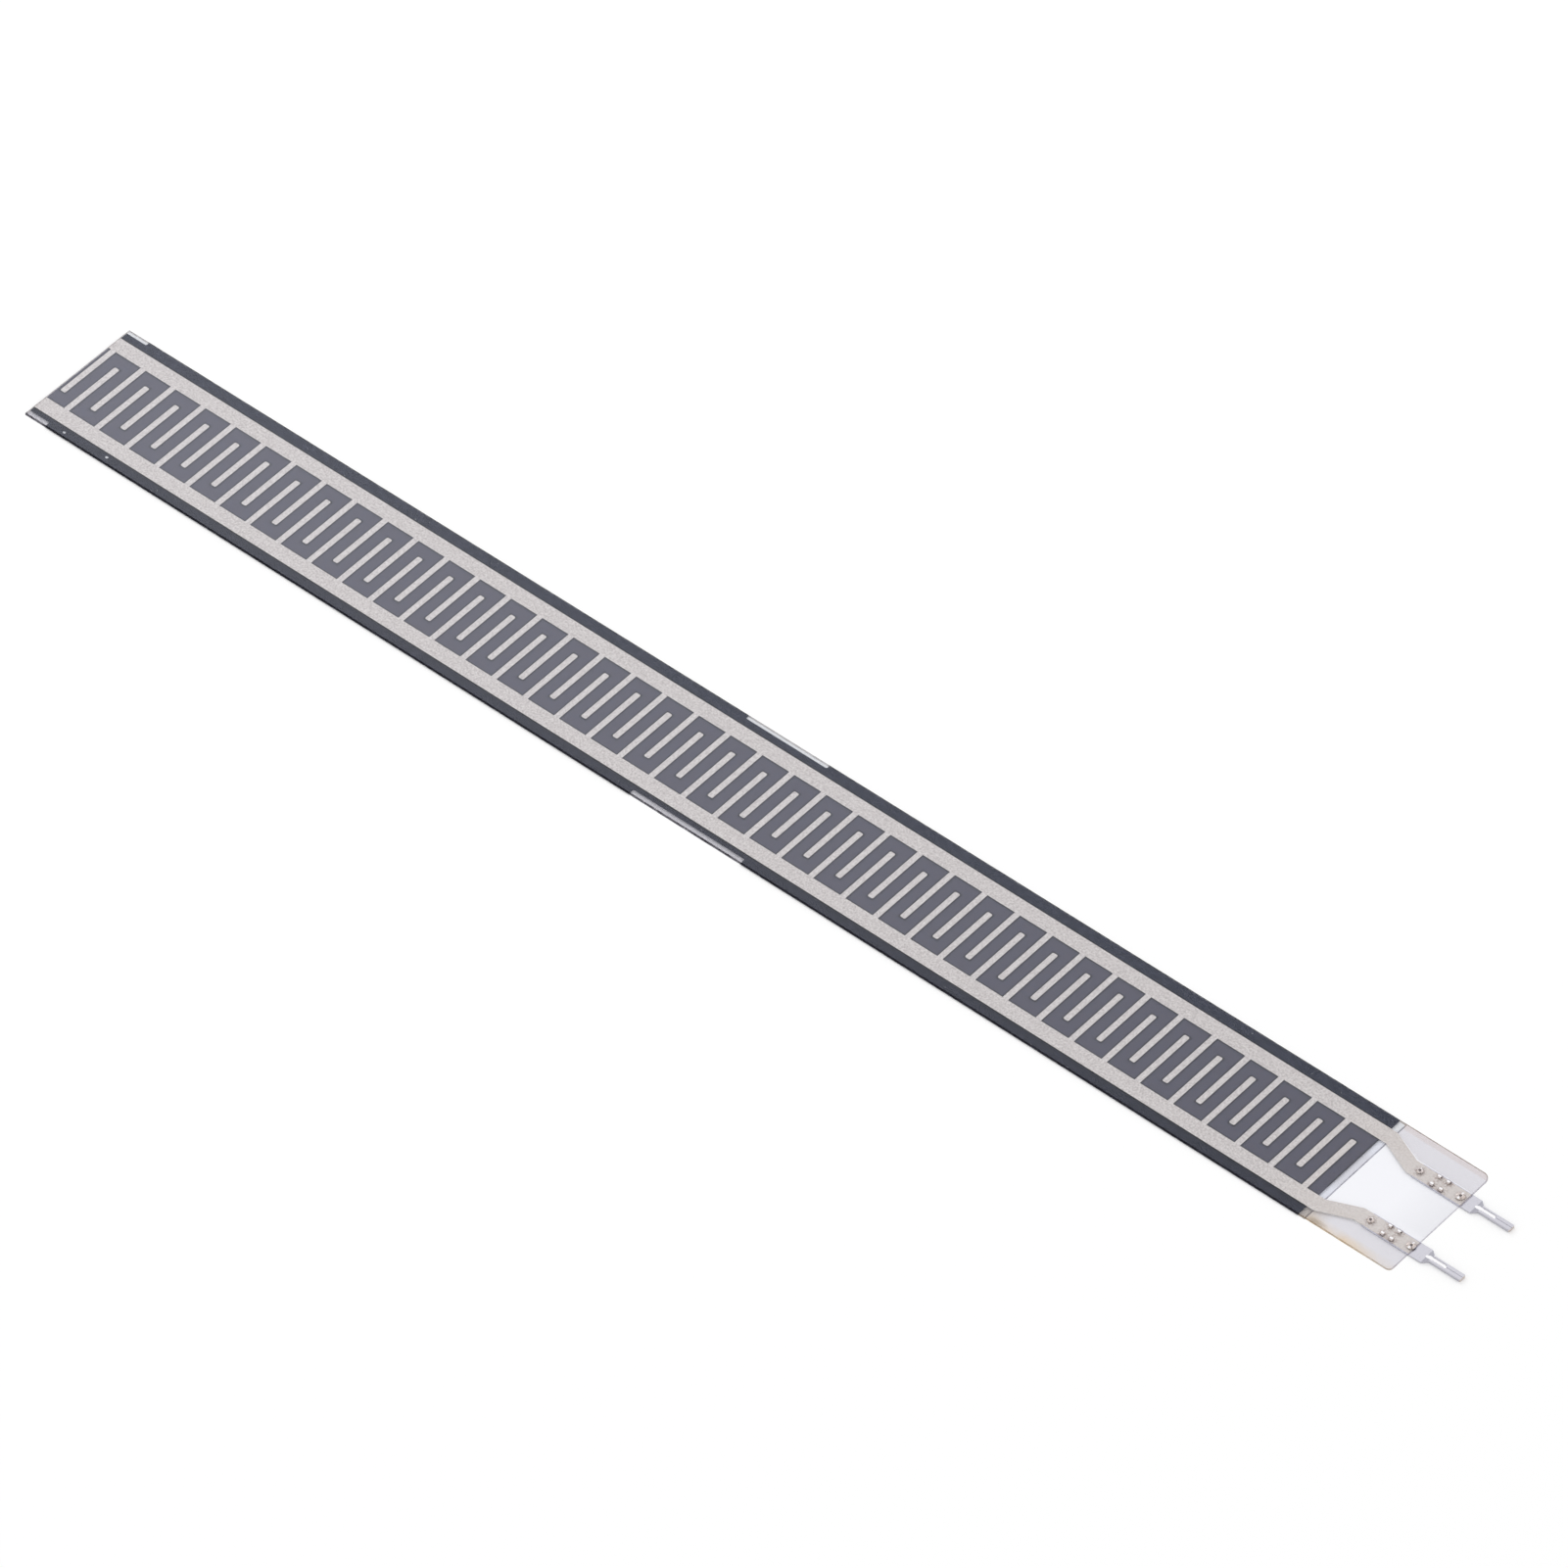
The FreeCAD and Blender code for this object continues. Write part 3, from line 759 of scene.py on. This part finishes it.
def crease_and_shade_tin(settings):
    """Tin plate crazed by the fold at the shoulder: dull and darker, with fine cracks across the bend. On the
    trough's walls the same darker finish is painted shade.
    """
    material, tree = empty_material("crease_and_shade_tin")
    point = add_node(tree, "ShaderNodeTexCoord").outputs["Object"]
    across = add_node(tree, "ShaderNodeMapping", {"Vector": point, "Scale": (1.0, 0.15, 1.0)})
    cracks = add_node(tree, "ShaderNodeTexNoise", {"Vector": across, "Scale": 1 / (0.05 * MM), "Detail": 3.0})
    dulled = add_node(
        tree, "ShaderNodeMix", [cracks, settings.crease_and_shade_colour, settings.tin_colour], data_type="RGBA"
    )
    relief = add_node(tree, "ShaderNodeBump", {"Height": cracks, "Strength": 0.4, "Distance": 0.01 * MM})
    surface = add_node(
        tree,
        "ShaderNodeBsdfPrincipled",
        {"Base Color": dulled, "Metallic": 0.6, "Roughness": 0.65, "Normal": relief},
    )
    add_node(tree, "ShaderNodeOutputMaterial", {"Surface": surface})
    return material


def burnished_glint_tin(settings):
    """Tin plate smoothed by the punch that pressed the trough: it mirrors the room almost whole, so it shows
    as a white streak. Its near-white metal is partly a painted highlight, and on the curls' flat tops it makes
    painted glints."""
    material, tree = empty_material("burnished_glint_tin")
    point = add_node(tree, "ShaderNodeTexCoord").outputs["Object"]
    drag = add_node(tree, "ShaderNodeMapping", {"Vector": point, "Scale": (0.1, 1.0, 1.0)})
    lines = add_node(tree, "ShaderNodeTexNoise", {"Vector": drag, "Scale": 1 / (0.06 * MM)})
    rough = add_node(tree, "ShaderNodeMapRange", {"Value": lines, "To Min": 0.1, "To Max": 0.22})
    surface = add_node(
        tree,
        "ShaderNodeBsdfPrincipled",
        {"Base Color": settings.burnished_glint_colour, "Metallic": 1.0, "Roughness": rough},
    )
    add_node(tree, "ShaderNodeOutputMaterial", {"Surface": surface})
    return material


def white_sweep(settings):
    """Matt white studio paper. It keeps the object's shadow, and to the camera and to mirrors it reads as
    white."""
    material, tree = empty_material("white_sweep_paper")
    lift = add_node(tree, "ShaderNodeMath", [seen_directly(tree), settings.floor_lift], operation="MULTIPLY")
    paper = add_node(tree, "ShaderNodeBsdfDiffuse", {"Color": settings.floor_colour})
    glow = add_node(tree, "ShaderNodeEmission", {"Color": (1, 1, 1, 1), "Strength": lift})
    sweep = add_node(tree, "ShaderNodeAddShader", [paper, glow])
    add_node(tree, "ShaderNodeOutputMaterial", {"Surface": sweep})
    return material


# Meshes


def keep(work, name, materials, record_slot, *nodes):
    """Turns finished mesh work into a piece that rides on the strip and stands for the given CAD nodes."""
    mesh = bpy.data.meshes.new(name)
    work.to_mesh(mesh)
    work.free()
    piece = bpy.data.objects.new(name, mesh)
    bpy.context.scene.collection.objects.link(piece)
    for material in materials:
        mesh.materials.append(material)
    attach(piece, ROOT)
    if nodes:
        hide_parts(*nodes)
    return piece


def let_light_through(piece):
    """A clear sheet this thin hardly dims what it covers, so it casts no shadow, and scattered light ignores
    it."""
    piece.visible_shadow = False
    piece.visible_diffuse = False


def merged_copy(node):
    """A CAD node's mesh with its corners joined and its flat faces whole again."""
    work = bmesh.new()
    work.from_mesh(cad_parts[node].data)
    bmesh.ops.remove_doubles(work, verts=work.verts, dist=0.0005 * MM)
    bmesh.ops.dissolve_limit(work, angle_limit=math.radians(0.5), verts=work.verts, edges=work.edges)
    for face in work.faces:
        face.smooth = False
        face.material_index = 0
    return work


def shift_level(work, height, by):
    """Moves the corners that lie at one height up or down, to leave air between two faces that touch."""
    level = [v for v in work.verts if abs(v.co.z - height) < SAME_HEIGHT]
    bmesh.ops.translate(work, verts=level, vec=(0, 0, by))


def mark_cut_edges(work, top, width):
    """Gives the upright faces, which are the cut edges, the film's second material, and a narrow border of
    its top face too, where the edge shows from above."""
    for face in work.faces:
        if abs(face.normal.z) < UPRIGHT:
            face.material_index = EDGE_SLOT
    level = [
        face
        for face in work.faces
        if abs(face.normal.z) > UPRIGHT and abs(face.calc_center_median().z - top) < SAME_HEIGHT
    ]
    border = bmesh.ops.inset_region(
        work, faces=level, thickness=width, use_boundary=True, use_even_offset=True
    )
    for face in border["faces"]:
        face.material_index = EDGE_SLOT


def repaint(node, material):
    """Gives a CAD node its finish."""
    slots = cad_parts[node].data.materials
    slots.clear()
    slots.append(material)


# Operators


class FSR_OT_films(bpy.types.Operator):
    """Lay the two clear polyester films, with frosted cut edges"""

    bl_idname = "fsr.films"
    bl_label = "Polyester films"

    def execute(self, context):
        settings = context.scene.fsr_film
        gap = settings.ink_gap
        edge = sheared_edge(settings)
        top = merged_copy("electrode_film")
        shift_level(top, FILM_UNDERSIDE, gap)
        mark_cut_edges(top, FILM_TOP, settings.rim_width)
        # Painted shade between the crimps, greyer towards the film's end
        pressed = (settings.crimp_shade_tint, CRIMP_SHADE_START, FILM_END)
        clear = polyester_film(settings, "polyester_film", settings.tint, settings.gap_mirror, *pressed)
        let_light_through(keep(top, "clear_electrode_film", [clear, edge], "clear_film", "electrode_film"))
        backing = merged_copy("backing_film")
        shift_level(backing, BACKING_TOP, -gap)
        mark_cut_edges(backing, BACKING_TOP - gap, settings.rim_width)
        # Painted shade: the backing is greyed past the carbon's end, over the strip's middle
        margin = (settings.margin_shade_tint, CARBON_END - 0.1 * MM, CARBON_END)
        milky = polyester_film(settings, "milky_polyester_film", settings.backing_tint, 0.0, *margin)
        let_light_through(keep(backing, "clear_backing_film", [milky, edge], "clear_film", "backing_film"))
        return {"FINISHED"}


class FSR_OT_silver(bpy.types.Operator):
    """Print the two interleaved silver combs"""

    bl_idname = "fsr.silver"
    bl_label = "Silver combs"

    def execute(self, context):
        ink = printed_silver(context.scene.fsr_ink)
        for node in ("silver_comb_left", "silver_comb_right"):
            repaint(node, ink)
        return {"FINISHED"}


class FSR_OT_carbon(bpy.types.Operator):
    """Print the carbon layer"""

    bl_idname = "fsr.carbon"
    bl_label = "Carbon layer"

    def execute(self, context):
        repaint("carbon_layer", printed_carbon(context.scene.fsr_ink))
        return {"FINISHED"}


class FSR_OT_adhesive(bpy.types.Operator):
    """Lay the spacer adhesive along both rims, under the silver buses and on the tail"""

    bl_idname = "fsr.adhesive"
    bl_label = "Spacer adhesive"

    def execute(self, context):
        glue = spacer_adhesive(context.scene.fsr_adhesive)
        gap = context.scene.fsr_film.ink_gap
        for side in ("left", "right"):
            work = merged_copy("spacer_" + side)
            shift_level(work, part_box("carbon_layer")[1].z, gap)
            shift_level(work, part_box("silver_comb_" + side)[0].z, -gap)
            let_light_through(keep(work, "adhesive_" + side, [glue], "adhesive", "spacer_" + side))
        return {"FINISHED"}


class FSR_OT_bubbles(bpy.types.Operator):
    """Trap small flat air bubbles under the rims, the two large ones near the cut end on the right"""

    bl_idname = "fsr.bubbles"
    bl_label = "Air bubbles"

    def execute(self, context):
        settings = context.scene.fsr_bubble
        work = bmesh.new()
        chance = random.Random(settings.seed)
        places = [(x * MM, y * MM, size) for x, y, size in LARGE_BUBBLES]
        start, end = CUT_END + 3 * MM, CARBON_END - 1 * MM
        for side in (-1, 1):
            for _ in range(settings.count):
                rim = BUS_OUTER + chance.uniform(0.15, 0.9) * (FILM_EDGE - BUS_OUTER)
                places.append((chance.uniform(start, end), side * rim, chance.uniform(0.2, 0.55)))
        for x, y, size in places:
            radius = settings.radius * size
            # Pressed flat, and a little longer along the strip than across it
            flat = Matrix.Diagonal((radius, radius * 0.8, BUBBLE_HALF_HEIGHT, 1))
            where = Matrix.Translation((x, y, FILM_UNDERSIDE - BUBBLE_DEPTH))
            bmesh.ops.create_icosphere(work, subdivisions=2, radius=1, matrix=where @ flat)
        for face in work.faces:
            face.smooth = True
        keep(work, "air_bubbles", [trapped_air(settings)], "adhesive")
        return {"FINISHED"}


class FSR_OT_terminals(bpy.types.Operator):
    """Round the stamped edges of the two crimp terminals and tin them"""

    bl_idname = "fsr.terminals"
    bl_label = "Crimp terminals"

    def execute(self, context):
        settings = context.scene.fsr_terminal
        finishes = [make(settings) for make in (tinned_brass, burnished_glint_tin, crease_and_shade_tin, torn_brass)]
        for side in ("left", "right"):
            node = "terminal_" + side
            work = merged_copy(node)
            self.mark_finishes(work, node)
            piece = keep(work, "tinned_terminal_" + side, finishes, "tinned_terminal", node)
            rounding = piece.modifiers.new("stamped_edges", "BEVEL")
            rounding.limit_method = "ANGLE"
            rounding.angle_limit = math.radians(40)
            rounding.width = settings.edge_radius
            rounding.segments = 2
        return {"FINISHED"}

    def mark_finishes(self, work, node):
        """Picks each face's material by its place and by how far its normal points up or along the pin."""
        low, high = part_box(node)
        middle = (low.y + high.y) / 2
        for face in work.faces:
            spot, facing = face.calc_center_median(), face.normal
            from_tip = high.x - spot.x
            in_trough = TROUGH_NEAR < from_tip < TROUGH_FAR and all(
                abs(v.co.y - middle) < TROUGH_HALF_WIDTH and v.co.z > TROUGH_FLOOR for v in face.verts
            )
            on_curl = spot.z > FILM_TOP and spot.x < FILM_END
            trough_floor = in_trough and facing.z > 0.45
            # Painted shade: the trough's walls get the darker creased finish
            trough_side = in_trough and facing.z > 0.05
            # Painted glints: the flat tops of the curls get the near-white metal
            curl_top = on_curl and abs(facing.x) < 0.1 and facing.z > 0.85
            curl_side = on_curl and abs(facing.z) < 0.3
            shoulder = from_tip < SHOULDER_FAR and facing.x < -0.1 and facing.z > 0.3
            tip_end = from_tip < 0.2 * MM and facing.x > 0.7
            if trough_floor or curl_top:
                face.material_index = BURNISHED_GLINT
            elif trough_side or shoulder:
                face.material_index = CREASE_AND_SHADE
            elif curl_side or tip_end:
                face.material_index = TORN
            else:
                face.material_index = TINNED


class FSR_OT_stage(bpy.types.Operator):
    """Set the white floor, the soft light and the camera"""

    bl_idname = "fsr.stage"
    bl_label = "Stage"

    def execute(self, context):
        settings = context.scene.fsr_stage
        self.lay_floor(settings)
        self.light_room(context.scene, settings)
        self.hang_panel(settings)
        self.place_camera(context.scene, settings)
        context.scene.view_settings.view_transform = "Standard"
        return {"FINISHED"}

    def lay_floor(self, settings):
        work = bmesh.new()
        bmesh.ops.create_grid(work, x_segments=1, y_segments=1, size=settings.floor_size / 2)
        bmesh.ops.translate(work, verts=work.verts, vec=(0, 0, CAD_BOX[0].z - settings.floor_drop))
        mesh = bpy.data.meshes.new("floor")
        work.to_mesh(mesh)
        work.free()
        mesh.materials.append(white_sweep(settings))
        floor = bpy.data.objects.new("floor", mesh)
        bpy.context.scene.collection.objects.link(floor)

    def light_room(self, scene, settings):
        world = bpy.data.worlds.new("white_room")
        scene.world = world
        world.use_nodes = True
        tree = world.node_tree
        tree.nodes.clear()
        levels = {"Value": seen_directly(tree), "To Min": settings.room_level, "To Max": 1.0}
        level = add_node(tree, "ShaderNodeMapRange", levels)
        sky = add_node(tree, "ShaderNodeBackground", {"Color": (1, 1, 1, 1), "Strength": level})
        add_node(tree, "ShaderNodeOutputWorld", {"Surface": sky})

    def hang_panel(self, settings):
        lamp = bpy.data.lights.new("soft_panel", "AREA")
        lamp.shape = "SQUARE"
        lamp.size = settings.panel_size
        lamp.energy = settings.panel_power
        panel = bpy.data.objects.new("soft_panel", lamp)
        panel.location = settings.panel_place
        panel.rotation_euler = panel.location.to_track_quat("Z", "Y").to_euler()
        panel.visible_camera = False
        bpy.context.scene.collection.objects.link(panel)

    def place_camera(self, scene, settings):
        data = bpy.data.cameras.new("photo_camera")
        data.lens = settings.camera_lens
        data.sensor_width = 36.0
        data.clip_start = 0.1
        data.clip_end = 20.0
        camera = bpy.data.objects.new("photo_camera", data)
        bpy.context.scene.collection.objects.link(camera)
        turn = Matrix.Rotation(settings.camera_azimuth, 4, "Z")
        tip = Matrix.Rotation(math.radians(90) - settings.camera_elevation, 4, "X")
        roll = Matrix.Rotation(settings.camera_roll, 4, "Z")
        back = Matrix.Translation((0, 0, settings.camera_distance))
        camera.matrix_world = Matrix.Translation(settings.camera_aim) @ turn @ tip @ roll @ back
        scene.camera = camera


class FSR_PT_parts(bpy.types.Panel):
    """The strip's pieces, each with its button and its sizes and colours"""

    bl_idname = "FSR_PT_parts"
    bl_label = "Force sensing strip"
    bl_space_type = "VIEW_3D"
    bl_region_type = "UI"
    bl_category = "Sensor"

    def draw(self, context):
        for operator, group in STEPS:
            box = self.layout.box()
            box.operator(operator.bl_idname)
            settings = getattr(context.scene, group)
            for setting in settings.bl_rna.properties:
                if setting.identifier not in ("rna_type", "name"):
                    box.prop(settings, setting.identifier)


GROUPS = {
    "fsr_film": FilmSettings,
    "fsr_ink": InkSettings,
    "fsr_adhesive": AdhesiveSettings,
    "fsr_bubble": BubbleSettings,
    "fsr_terminal": TerminalSettings,
    "fsr_stage": StageSettings,
}
STEPS = (
    (FSR_OT_carbon, "fsr_ink"),
    (FSR_OT_silver, "fsr_ink"),
    (FSR_OT_adhesive, "fsr_adhesive"),
    (FSR_OT_bubbles, "fsr_bubble"),
    (FSR_OT_films, "fsr_film"),
    (FSR_OT_terminals, "fsr_terminal"),
    (FSR_OT_stage, "fsr_stage"),
)
CLASSES = (*GROUPS.values(), *(step[0] for step in STEPS), FSR_PT_parts)


def register():
    for each in CLASSES:
        bpy.utils.register_class(each)
    for name, group in GROUPS.items():
        setattr(bpy.types.Scene, name, bpy.props.PointerProperty(type=group))


def unregister():
    for name in GROUPS:
        delattr(bpy.types.Scene, name)
    for each in reversed(CLASSES):
        bpy.utils.unregister_class(each)


def main():
    """Dresses the strip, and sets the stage."""
    register()
    bpy.ops.fsr.carbon()
    bpy.ops.fsr.silver()
    bpy.ops.fsr.adhesive()
    bpy.ops.fsr.bubbles()
    bpy.ops.fsr.films()
    bpy.ops.fsr.terminals()
    bpy.ops.fsr.stage()


if __name__ == "__main__":
    main()
